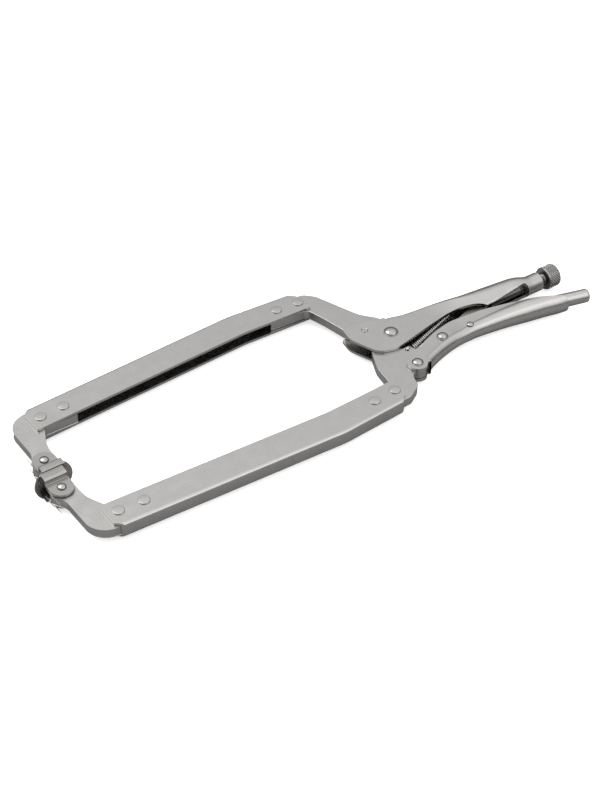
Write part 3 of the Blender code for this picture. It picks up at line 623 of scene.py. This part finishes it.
class CLAMP_OT_jaws(bpy.types.Operator):
    """Forges the fixed jaw in the handle's nose and the moving jaw that swings on the main pivot"""

    bl_idname = "clamp.jaws"
    bl_label = "Jaw plates"

    def execute(self, context):
        edge = size_of("plate_edge")
        corners = [(-66, 63, 1), (-66, 83, 1), (-40, 81, 20), (-25.5, 79, 6), (-18.4, 71.5, 8), (-5, 34, 25)]
        corners += [(4.7, 22, 2), (4.7, 12, 1)] + arc((0, 0), 10.5, 62, 145)
        corners += [(-14, 8, 2), (-20.5, 12.5, 3), (-25.8, 22.5, 2), (-29.9, 44.2, 40), (-34.2, 60.6, 5)]
        jaw = plate("fixed_jaw_plate", rounded(corners), -PLATE_HALF, PLATE_HALF, edge)
        placed(jaw, FINISH["forging"], "fixed_frame", ["fixed_jaw"])
        corners = arc((0, 0), 9.5, -62, 140)
        corners += [(-16.5, 0.5, 4), (-25.2, -9.5, 14), (-33, -26, 30), (-36, -46.8, 4), (-68, -48.2, 1)]
        corners += [(-68, -67.9, 1), (-32, -66.2, 6), (-19.6, -59, 12), (-16.8, -48.6, 8)]
        corners += arc(JAW_PIVOT, 7.0, 225, 380)
        corners += [(-1.2, -32.5, 5), (3.8, -24, 4), (3, -18.4, 2), (-5.2, -18.8, 1.5), (-4.2, -12, 2)]
        hole = (*SPRING_HOOK, 1.25)
        jaw = plate("moving_jaw_plate", rounded(corners), -PLATE_HALF, PLATE_HALF, edge, [hole])
        placed(jaw, FINISH["forging"], "moving_jaw", ["moving_jaw"])
        return {"FINISHED"}


def section(x, top, bottom, half_top, half_bottom, round_top, round_bottom, steps=12):
    """A ring across a handle at x: two rounded upper corners and two lower ones, as (x, y, z) points."""
    round_top = min(round_top, half_top - 0.05)
    round_bottom = min(round_bottom, half_bottom - 0.05)
    high, low = top - round_top, bottom + round_bottom
    wide, narrow = half_top - round_top, half_bottom - round_bottom
    lean = math.atan2(wide - narrow, high - low)
    apart = max(math.hypot(wide - narrow, high - low), 0.1)
    tilt = math.asin(max(-0.6, min(0.6, (round_bottom - round_top) / apart)))
    if apart < 0.5:  # one circle, so any angle will do, and this one keeps the ring in step
        lean, tilt = 0, math.asin(-0.6)
    meet = math.pi / 2 - lean - tilt
    side = [(high + round_top * math.cos(a), wide + round_top * math.sin(a))
            for a in (meet * i / steps for i in range(steps + 1))]
    side += [(low + round_bottom * math.cos(a), narrow + round_bottom * math.sin(a))
             for a in (meet + (math.pi - meet) * i / steps for i in range(steps + 1))]
    return [(x, y, z) for y, z in side] + [(x, y, -z) for y, z in reversed(side)]


def eased(stations, step=2.5):
    """The stations with smoothly curved ones put in between."""
    made = [stations[0]]
    for i in range(len(stations) - 1):
        before, here = stations[max(i - 1, 0)], stations[i]
        there, after = stations[i + 1], stations[min(i + 2, len(stations) - 1)]
        gap = there[0] - here[0]
        count = max(1, round(gap / step))
        for k in range(1, count + 1):
            t = k / count
            values = [here[0] + gap * t]
            for a, b, c, d in zip(before[1:], here[1:], there[1:], after[1:]):
                start = (c - a) / max(there[0] - before[0], 1e-6) * gap
                end = (d - b) / max(after[0] - here[0], 1e-6) * gap
                smooth = (2 * t**3 - 3 * t**2 + 1) * b + (t**3 - 2 * t**2 + t) * start
                smooth += (-2 * t**3 + 3 * t**2) * c + (t**3 - t**2) * end
                values.append(smooth)
            made.append(tuple(values))
    return made


def pressing(name, front, stations):
    """A sheet pressing: a loft through the stations, less the same loft one sheet smaller."""
    sheet, lip = size_of("sheet"), 1.2
    every = list(front) + eased(stations)
    hollow = []
    for i, (x, top, bottom, half_top, half_bottom, round_top, round_bottom) in enumerate(every):
        x -= lip if i in (1, 2) else 0  # the web's front edge, where the second station ends
        less = [max(r - sheet, 0.3) for r in (round_top, round_bottom)]
        hollow.append(section(x, top - sheet, bottom + sheet, half_top - sheet, half_bottom - sheet, *less))
    hollow[0] = [(x - 1, y, z) for x, y, z in hollow[0]]
    hollow[-1] = [(x + 1, y, z) for x, y, z in hollow[-1]]
    piece = loft(name, [section(*station) for station in every])
    return boolean(piece, loft(f"{name}_hollow", hollow))


class CLAMP_OT_fixed_handle(bpy.types.Operator):
    """Presses the fixed handle: open cheeks, a rounded grip with a slot below, and the screw's neck"""

    bl_idname = "clamp.fixed_handle"
    bl_label = "Fixed handle"

    def execute(self, context):
        neck, circle, grip, low = SCREW_Y, 7.5, 9.6, 7.8
        half, web = CHANNEL_HALF, 6.4
        front = [(-33, 30, -26, half, half, 0.5, 0.5), (web - 0.1, 30, -26, half, half, 0.5, 0.5)]
        stations = [
            (web, 17.2, -26, half, half, 3, 0.5),
            (10, 16.7, -26, half, half, 3, 0.5),
            (20, 13.8, -26, half, half, 3, 0.5),
            (30, 12.6, -25, half, half, 3, 0.5),
            (45, 11.3, -24, half + 0.3, half, 3.5, 1),
            (58, 9.8, -21, 7.4, 6.4, 5.5, 3),
            (70, 7.9, -17.5, 9.0, 7.4, 8.5, 6),
            (80, 6.9, neck - low, grip, low, grip, low),
            (100, 4.9, neck - low, grip + 0.2, low, grip + 0.2, low),
            (115, 3.4, neck - low, grip, low, grip, low),
            (121, 2.0, neck - low, 9.0, low, 9.0, low),
            (127, -0.6, neck - circle, 7.8, circle, 7.8, circle),
            (131, neck + circle, neck - circle - 0.01, circle, circle, circle, circle),
            (NECK_END, neck + circle, neck - circle - 0.01, circle, circle, circle, circle),
        ]
        handle = pressing("upper_handle", front, stations)
        boolean(handle, box("slot", (66, -20, -4.4), (119.5, -10, 4.4)))
        corners = [(-28.6, 23.2, 2), (-10, 21.2, 40), (web + 0.05, 17.0, 0), (web + 0.1, 29, 0), (145, 29, 0)]
        corners += [(145, -29, 0), (123.4, -29, 0), (123.4, -11.6, 3), (100, -13.6, 30), (83, -15.0, 6)]
        corners += [(72, -10.2, 14), (60, -7.0, 20), (48, -6.8, 30), (29.2, -10.2, 60), (6.3, -15.1, 40)]
        corners += [(-8.5, -18.3, 12), (-22, -14, 12), (-30.6, 10, 14)]
        boolean(handle, plate("handle_side", rounded(corners), -60, 60), "INTERSECT")
        x, y = SPRING_ANCHOR
        boolean(handle, box("tab", (x - 0.7, y - 2.2, -2.6), (x + 0.7, 9, 2.6)), "UNION")
        softened(handle, size_of("sheet_edge"), 40)
        placed(handle, FINISH["sheet"], "fixed_frame", ["fixed_handle"], 40)
        return {"FINISHED"}


class CLAMP_OT_moving_handle(bpy.types.Operator):
    """Presses the moving handle: two ears on the jaw's boss and a channel open towards the other handle"""

    bl_idname = "clamp.moving_handle"
    bl_label = "Moving handle"

    def execute(self, context):
        half, grip, web = CHANNEL_HALF, 9.0, 3.2
        floor = [(web, -45.2), (9, -42.6), (17, -39.7), (27, -36.9), (37, -34.9), (47, -34.1), (57, -34.0)]
        floor += [(67, -35), (78, -36.3), (88, -37.8), (98, -39.7), (108, -41.6), (119, -43.6), (129, -46)]
        floor += [(141, -47.8)]
        front = [(-20, 0, -62, half, half, 0.5, 0.5), (web - 0.1, 0, -62, half, half, 0.5, 0.5)]
        stations = []
        for x, y in floor:
            wide = half + (grip - half) * min(1, max(0, (x - 47) / 61))
            stations.append((x, 0, y, wide, wide, 0.5, min(5.3 + (wide - half) * 1.2, wide)))
        handle = pressing("lower_handle", front, stations)
        corners = arc(JAW_PIVOT, 8, 95, 295)
        corners += [(0.4, -44.0, 1.5), (web + 0.05, -45.0, 0), (web + 0.1, -60, 0), (131, -60, 0)]
        corners += [(137.5, -46, 3), (134, -41.4, 3), (118, -33.4, 60), (98, -25.5, 60), (75, -19.2, 60)]
        corners += [(60, -17.0, 30), (44, -15.0, 30), (27, -18.6, 30), (13.4, -23.4, 3), (8.4, -26.4, 4)]
        corners += [(-2, -27.2, 3)]
        boolean(handle, plate("handle_side", rounded(corners), -60, 60), "INTERSECT")
        softened(handle, size_of("sheet_edge"), 40)
        placed(handle, FINISH["sheet"], "moving_handle", ["moving_handle"], 40)
        return {"FINISHED"}


class CLAMP_OT_rivets(bpy.types.Operator):
    """Sets the flush rivets of the arms and the domed ones of the pivots"""

    bl_idname = "clamp.rivets"
    bl_label = "Rivets"

    def execute(self, context):
        row = scatter_tree()
        for side in SIDES:
            head = self.head("flush_head", 3.0, 4.3, 0.95, CHANNEL_HALF + 0.05, 2.2)
            points = bpy.data.meshes.new(f"{side.name}_arm_rivets")
            points.from_pydata([(x, y, 0) for x, y in side.rivets()], [], [])
            values = {"Rivet": head, "Material": FINISH["flush_rivet"]}
            rivets = grown(f"{side.name}_arm_rivets", points, row, values)
            bpy.data.objects.remove(head)
            nodes = [f"{side.name}_arm_rivet_{i}" for i in (1, 2, 3, 4)]
            placed(rivets, FINISH["flush_rivet"], side.body, nodes, 60)
        domes = [
            ("main_pivot_dome", (0, 0), 4.0, 5.2, 2.6, "fixed_frame", "main_pivot_rivet"),
            ("stake_head", STAKE, 2.0, 2.7, 0.5, "fixed_frame", "fixed_jaw_rivet"),
            ("handle_pivot_dome", JAW_PIVOT, 3.0, 4.1, 2.3, "moving_handle", "handle_pivot_rivet"),
            ("link_dome", TOGGLE_PIVOT, 3.0, 4.0, 2.3, "moving_handle", "link_rivet"),
            ("lever_dome", RELEASE_PIVOT, 2.0, 2.8, 1.5, "moving_handle", "lever_rivet"),
        ]
        for side in SIDES:
            name = f"{side.name}_pad_rivet"
            domes.append((f"{side.name}_pad_dome", side.pad_pivot(), 2.4, 3.3, 2.0, side.body, name))
        for name, (x, y), shank, radius, height, body, cad in domes:
            seat = 6.4 if cad == "lever_rivet" else CHANNEL_HALF
            if name == "stake_head":
                rivet = self.stake(shank, radius, height, seat + 0.05)
            else:
                rivet = self.head(name, shank, radius, height, seat + 0.05, None)
            rivet.data.transform(Matrix.Translation((x, y, 0)))
            placed(rivet, FINISH["rivet"], body, [cad], 60)
        return {"FINISHED"}

    def stake(self, shank, radius, height, seat):
        """A shank spread by a punch: a low rim round a round hollow."""
        hollow = [(radius * 0.72 * math.sin(a), seat + height * 0.6 - 1.1 * math.cos(a))
                  for a in (0, 0.4, 0.8, 1.2)]
        half = hollow + [(radius * 0.8, seat + height), (radius - 0.2, seat + height), (radius, seat + 0.2)]
        half += [(radius, seat), (shank, seat)]
        return turned("stake_head", half + [(r, -h) for r, h in reversed(half)])

    def head(self, name, shank, radius, height, seat, crown):
        """A rivet with a head on both sides: a full dome, or with a crown, a low flat one."""
        if crown:
            rim = 0.45
            top = [(0, seat + height + 0.12), (crown, seat + height + 0.08)]
            side = [(radius - rim + rim * math.cos(a), seat + height - rim + rim * math.sin(a))
                    for a in (1.57, 1.2, 0.8, 0.4, 0.0)]
            half = top + side + [(radius, seat), (shank, seat)]
        else:
            base = 0.3
            dome = [(radius * math.sin(a), seat + base + (height - base) * math.cos(a))
                    for a in (1.5708 * i / 12 for i in range(13))]
            flange = [(radius + 0.35, seat + 0.28), (radius + 0.45, seat + 0.1), (radius + 0.4, seat)]
            half = dome + (flange if radius > 3.5 else []) + [(shank, seat)]
        profile = half + [(r, -h) for r, h in reversed(half)]
        return turned(name, profile)


class CLAMP_OT_pads(bpy.types.Operator):
    """Stamps the two swivel pads, each a disc whose tabs fold back, step in and end as round ears"""

    bl_idname = "clamp.pads"
    bl_label = "Swivel pads"

    def execute(self, context):
        for side in SIDES:
            self.stamp(side)
        return {"FINISHED"}

    def stamp(self, side):
        x, y = side.pad_pivot()
        towards, sheet = -side.sign, PAD_SHEET
        face, sunk = abs(y - CENTRE_Y) - PAD_GAP / 2, 0.1
        ear, wall, end = CHANNEL_HALF, PAD_BOX, -EAR_RADIUS - 1
        outer = rounded([(face - sunk, 0, 0), (face - sunk, wall, 1.6), (PAD_STEP, wall, 2.2),
                         (PAD_STEP, ear, 0.4), (end, ear, 0)], 8)[1:]
        inner = rounded([(end, ear - sheet, 0), (PAD_STEP + sheet, ear - sheet, 1.2),
                         (PAD_STEP + sheet, wall - sheet, 0.5), (face - sheet + sunk, wall - sheet, 0.3),
                         (face - sheet + sunk, 0, 0)], 8)[:-1]
        half = outer + inner
        ring = half + [(d, -z) for d, z in reversed(half)]
        tab = PAD_TAB / 2
        rings = [[(x + e, y + towards * d, z) for d, z in ring] for e in (-tab, tab)]
        pad = loft(f"{side.name}_swivel_pad", rings)
        ears = arc((0, 0), EAR_RADIUS, 180, 360) + [(tab, face + 1, 0), (-tab, face + 1, 0)]
        outline = [(x + px, y + towards * py) for px, py, _ in ears]
        boolean(pad, plate("ears", outline, -40, 40), "INTERSECT")
        rim, back = 0.4, face - sheet
        profile = [(0, face), (PAD_RADIUS - rim, face), (PAD_RADIUS, face - rim)]
        profile += [(PAD_RADIUS, back), (0, back)]
        disc = turned("disc", profile)
        turn = Matrix.Rotation(-towards * math.pi / 2, 4, "X")
        disc.data.transform(Matrix.Translation((x, y, 0)) @ turn)
        flat = wall - sunk
        boolean(disc, box("flats", (x - 30, y - 30, -flat), (x + 30, y + 30, flat)), "INTERSECT")
        boolean(pad, disc, "UNION")
        softened(pad, size_of("sheet_edge"), 40)
        placed(pad, FINISH["pad"], f"{side.name}_pad", [f"{side.name}_pad"], 40)


class CLAMP_OT_screw(bpy.types.Operator):
    """Turns the adjusting screw with its thread, and the knurled knob"""

    bl_idname = "clamp.screw"
    bl_label = "Screw and knob"

    def execute(self, context):
        pitch, radius = size_of("thread_pitch"), 4.9
        # only the outer 30 mm, the stretch that shows, carries the thread
        thread_start, shank_end, root = 119.0, 150.0, radius - 0.75
        core = [(0, shank_end), (root, shank_end), (root, thread_start), (root - 0.2, thread_start - 0.4)]
        core += [(root - 0.2, SCREW_TIP + 1.2), (radius - 1.8, SCREW_TIP), (0, SCREW_TIP)]
        shank = turned("threaded_shank", core, "X")
        coil = coil_tree("screw_thread")
        run = shank_end - 1 - thread_start
        values = {"Turns": run / pitch, "Radius": radius - 0.72, "Height": run, "Wire": 0.7, "Facets": 3,
                  "Steps": 28, "Material": FINISH["screw"]}
        thread = grown("thread", bpy.data.meshes.new("thread"), coil, values)
        lying = Matrix.Rotation(math.pi / 2, 4, "Y")
        thread.data.transform(Matrix.Translation((thread_start, 0, 0)) @ lying)
        joined = bpy.data.meshes.new("threaded_shank")
        form = bmesh.new()
        form.from_mesh(shank.data)
        form.from_mesh(thread.data)
        form.to_mesh(joined)
        form.free()
        shank.data = joined
        bpy.data.objects.remove(thread)
        shank.data.transform(Matrix.Translation((0, SCREW_Y, 0)))
        placed(shank, FINISH["screw"], "adjusting_screw", ["adjusting_screw"])
        self.knob()
        return {"FINISHED"}

    def knob(self):
        start, end, outer, bore = KNOB_START, KNOB_END, 9.25, 5.2
        profile = [(0, end - 0.1), (2.4, end - 0.1), (2.7, end - 0.3), (3.1, end - 1.2), (6.0, end - 1.2),
                   (6.4, end - 0.3), (6.7, end), (outer - 1.1, end), (outer - 0.35, end - 0.35)]
        knurled = 60
        low, high = start + 1.6, end - 1.3
        profile += [(outer - 0.1, high + 0.25)]
        profile += [(outer, high - (high - low) * i / knurled) for i in range(knurled + 1)]
        profile += [(outer - 0.1, low - 0.25), (outer - 0.5, start + 0.4), (outer - 1.2, start)]
        profile += [(bore, start), (bore, end - 5.2), (0, end - 5.2)]
        knob = turned("knurled_knob", profile, "X", 340)
        ridges = float(bpy.context.scene.clamp_sizes.knurl_count)
        values = {"Ridges": ridges, "Slant": 0.5, "Depth": size_of("knurl_depth")}
        sleeve = knob.data
        inside = [v.index for v in sleeve.vertices if low <= v.co.x <= high and v.co.yz.length > outer - 0.01]
        grooves = bpy.data.meshes.new("sleeve")
        grooves.from_pydata([sleeve.vertices[i].co for i in inside], [], [])
        cut = grown("sleeve", grooves, knurl_tree(), {**values, "Material": FINISH["knob"]})
        for i, vertex in zip(inside, cut.data.vertices):
            sleeve.vertices[i].co = vertex.co
        bpy.data.objects.remove(cut)
        sleeve.transform(Matrix.Translation((0, SCREW_Y, 0)))
        placed(knob, FINISH["knob"], "screw_knob", ["screw_knob"], 35)


class CLAMP_OT_spring(bpy.types.Operator):
    """Winds the extension spring between the moving jaw's nose and the fixed handle"""

    bl_idname = "clamp.spring"
    bl_label = "Spring"

    def execute(self, context):
        hook, anchor = Vector((*SPRING_HOOK, 0)), Vector((*SPRING_ANCHOR, 0))
        along = (anchor - hook).normalized()
        reach, wire, radius = (anchor - hook).length, size_of("wire"), size_of("coil")
        start, end = 7.5, reach - 6
        turns = round((end - start) / size_of("coil_pitch"))
        values = {"Turns": float(turns), "Radius": radius, "Height": end - start, "Wire": wire, "Facets": 12,
                  "Steps": 24, "Material": FINISH["spring"]}
        coil = grown("jaw_pull_spring", bpy.data.meshes.new("coil"), coil_tree("spring_coil"), values)
        stand = Matrix.Translation(hook + along * start) @ along.to_track_quat("Z", "Y").to_matrix().to_4x4()
        coil.data.transform(stand)
        first, last = stand @ Vector((radius, 0, 0)), stand @ Vector((radius, 0, end - start))
        side = PLATE_HALF + 0.3 + wire
        hooked = [(2.4, -side), (0, -side), (0, side), (4.4, side)]
        front = [hook + along * far + Vector((0, 0, out)) for far, out in hooked]
        tail = [hook + along * (end + 1.5), hook + along * (reach - 1.6)]
        form = bmesh.new()
        form.from_mesh(coil.data)
        for path in (front + [first], [last] + tail):
            end_piece = self.bent_wire(path, wire)
            form.from_mesh(end_piece)
        form.to_mesh(coil.data)
        form.free()
        placed(coil, FINISH["spring"], None, ["jaw_spring"], 60)
        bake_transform(coil)
        return {"FINISHED"}

    def bent_wire(self, points, wire):
        curve = bpy.data.curves.new("wire_end", "CURVE")
        curve.dimensions, curve.bevel_depth, curve.bevel_resolution = "3D", wire, 3
        curve.use_fill_caps, curve.resolution_u = True, 6
        spline = curve.splines.new("BEZIER")
        spline.bezier_points.add(len(points) - 1)
        for point, place in zip(spline.bezier_points, points):
            point.co = place
            point.handle_left_type = point.handle_right_type = "AUTO"
        drawn = link_new("wire_end", curve)
        mesh = evaluated(drawn)
        bpy.data.objects.remove(drawn)
        weld(mesh)
        return mesh


class CLAMP_OT_lever(bpy.types.Operator):
    """Makes the release lever with its round tail, and finishes the toggle link"""

    bl_idname = "clamp.lever"
    bl_label = "Release lever and link"

    def execute(self, context):
        corners = [(47.4, -26.2, 1.2), (47.4, -29.6, 1.2), (56, -31.2, 3), (72, -32.0, 20), (110, -37.6, 20)]
        corners += [(124, -40.6, 2), (124, -31, 2), (110, -29.6, 10), (72, -25.4, 20), (58, -23.8, 4)]
        lever = plate("release_lever_blade", rounded(corners), -2, 2)
        thick, nose, far = 5.5, 2.4, 40.5
        profile = [(0, far), (2.6, far)]
        profile += [(thick - nose + nose * math.sin(a), far - nose + nose * math.cos(a))
                    for a in (0.3, 0.6, 0.9, 1.2, 1.57)]
        profile += [(thick, 1.5), (5.1, 0.5), (4.0, 0), (0, 0)]
        tail = turned("tail", profile, "X")
        slope = Matrix.Rotation(math.radians(-15), 4, "Z")
        tail.data.transform(Matrix.Translation((119.6, -34.3, 0)) @ slope)
        boolean(lever, tail, "UNION")
        softened(lever, 0.25, 40)
        placed(lever, FINISH["forging"], "release_lever", ["release_lever"], 40)
        link = frame["nodes"]["toggle_link"]
        for slot in link.material_slots:
            slot.material = FINISH["hidden"]
        return {"FINISHED"}


class CLAMP_OT_stage(bpy.types.Operator):
    """Lays the pale floor, the soft lights and the camera"""

    bl_idname = "clamp.stage"
    bl_label = "Stage"

    def execute(self, context):
        settings, scene = context.scene.clamp_stage, context.scene
        bpy.ops.mesh.primitive_plane_add(size=12, location=(0, 0, 0))
        floor = context.object
        floor.name = "pale_floor"
        floor.data.materials.append(self.paper(list(context.scene.clamp_colours.floor)))
        scene.world = self.surround(settings.sky)
        scene.view_settings.view_transform = "Standard"
        for name, place, size, power in (
            ("key", (-0.7, 0.8, 1.3), 1.5, settings.key),
            ("fill", (0.5, -1.2, 0.9), 1.3, settings.fill),
        ):
            lamp = bpy.data.lights.new(name, "AREA")
            lamp.size, lamp.energy = size, power
            light = link_new(name, lamp)
            light.location = place
            light.rotation_euler = (-Vector(place)).to_track_quat("-Z", "Y").to_euler()
        camera = link_new("camera", bpy.data.cameras.new("camera"))
        camera.data.lens, camera.data.sensor_width = 75.33, 36.0
        camera.data.clip_start, camera.data.clip_end = 0.05, 50
        target = PIVOT + Vector((-97.55, -20.0, 0)) * MM
        turn, rise, far = math.radians(-35.1), math.radians(40.02), 1.2052
        back = Vector((math.sin(turn) * math.cos(rise), -math.cos(turn) * math.cos(rise), math.sin(rise)))
        camera.location = target + back * far
        camera.rotation_euler = (-back).to_track_quat("-Z", "Y").to_euler()
        scene.camera = camera
        return {"FINISHED"}

    def paper(self, white):
        """Matt paper with painted light and shade: white where the camera sees it, with a painted glow that
        fades the object's shadow on it, and grey in what it lights and in reflections, which paints shade
        into the metal.
        """
        # painted shade and painted light: the grey is what the metal reflects of the floor and what the floor
        # bounces onto it, and the glow, seen only by the camera, whitens the object's shadow
        painted_shade_grey, painted_light_glow = 0.32, 0.62
        material = bpy.data.materials.new("pale_floor")
        material.use_nodes = True
        tree = material.node_tree
        shader = tree.nodes["Principled BSDF"]
        shader.inputs["Roughness"].default_value = 0.9
        shader.inputs["Specular IOR Level"].default_value = 0.0
        seen = node(tree, "ShaderNodeLightPath").outputs["Is Camera Ray"]
        # painted shade: reflections of the floor in the metal take the grey, while the camera sees the white
        tone = node(tree, "ShaderNodeMix", {"Factor": seen}, data_type="RGBA")
        tone.inputs["A"].default_value = (painted_shade_grey, painted_shade_grey, painted_shade_grey, 1)
        tone.inputs["B"].default_value = white
        tree.links.new(tone.outputs["Result"], shader.inputs["Base Color"])
        # painted light: the floor glows only for the camera, so the object's shadow on it fades
        glow = node(tree, "ShaderNodeMath", {0: seen}, operation="MULTIPLY", inputs={1: painted_light_glow})
        shader.inputs["Emission Color"].default_value = (1, 1, 1, 1)
        tree.links.new(glow.outputs[0], shader.inputs["Emission Strength"])
        return material

    def surround(self, strength):
        """A studio bright overhead and dimmer towards the horizon, and white where the camera sees it."""
        world = bpy.data.worlds.new("studio")
        world.use_nodes = True
        tree = world.node_tree
        place = node(tree, "ShaderNodeTexCoord").outputs["Generated"]
        height = node(tree, "ShaderNodeSeparateXYZ", {0: place}).outputs["Z"]
        ramp = node(tree, "ShaderNodeValToRGB", {0: height})
        ramp.color_ramp.elements[0].position, ramp.color_ramp.elements[0].color = 0.0, (0.06, 0.06, 0.06, 1)
        ramp.color_ramp.elements[1].position, ramp.color_ramp.elements[1].color = 1.0, (1, 1, 1, 1)
        for position, level in ((0.3, 0.2), (0.6, 0.66)):
            ramp.color_ramp.elements.new(position).color = (level, level, level, 1)
        back = tree.nodes["Background"]
        seen = node(tree, "ShaderNodeLightPath").outputs["Is Camera Ray"]
        tone = node(tree, "ShaderNodeMix", {"Factor": seen, "A": ramp.outputs[0]}, data_type="RGBA")
        tone.inputs["B"].default_value = (1, 1, 1, 1)
        tree.links.new(tone.outputs["Result"], back.inputs["Color"])
        back.inputs["Strength"].default_value = strength
        return world


class CLAMP_PT_panel(bpy.types.Panel):
    """Lists the clamp's pieces and its sizes and colours"""

    bl_label = "Locking clamp"
    bl_idname = "CLAMP_PT_panel"
    bl_space_type = "VIEW_3D"
    bl_region_type = "UI"
    bl_category = "Clamp"

    def draw(self, context):
        for operator in OPERATORS:
            self.layout.operator(operator.bl_idname)
        for group in (context.scene.clamp_sizes, context.scene.clamp_colours, context.scene.clamp_stage):
            for name in group.bl_rna.properties.keys():
                if name not in ("rna_type", "name"):
                    self.layout.prop(group, name)


OPERATORS = (
    CLAMP_OT_arms,
    CLAMP_OT_far_jaws,
    CLAMP_OT_jaws,
    CLAMP_OT_fixed_handle,
    CLAMP_OT_moving_handle,
    CLAMP_OT_rivets,
    CLAMP_OT_pads,
    CLAMP_OT_screw,
    CLAMP_OT_spring,
    CLAMP_OT_lever,
    CLAMP_OT_stage,
)
GROUPS = (("clamp_sizes", ClampSizes), ("clamp_colours", ClampColours), ("clamp_stage", StageSettings))


def register():
    for name, group in GROUPS:
        bpy.utils.register_class(group)
        setattr(bpy.types.Scene, name, bpy.props.PointerProperty(type=group))
    for made in (*OPERATORS, CLAMP_PT_panel):
        bpy.utils.register_class(made)


def unregister():
    for made in (CLAMP_PT_panel, *reversed(OPERATORS)):
        bpy.utils.unregister_class(made)
    for name, group in reversed(GROUPS):
        delattr(bpy.types.Scene, name)
        bpy.utils.unregister_class(group)


def main():
    register()
    FINISH.update(build_materials(bpy.context.scene.clamp_colours))
    for operator in OPERATORS:
        group, name = operator.bl_idname.split(".")
        getattr(getattr(bpy.ops, group), name)()


if __name__ == "__main__":
    main()
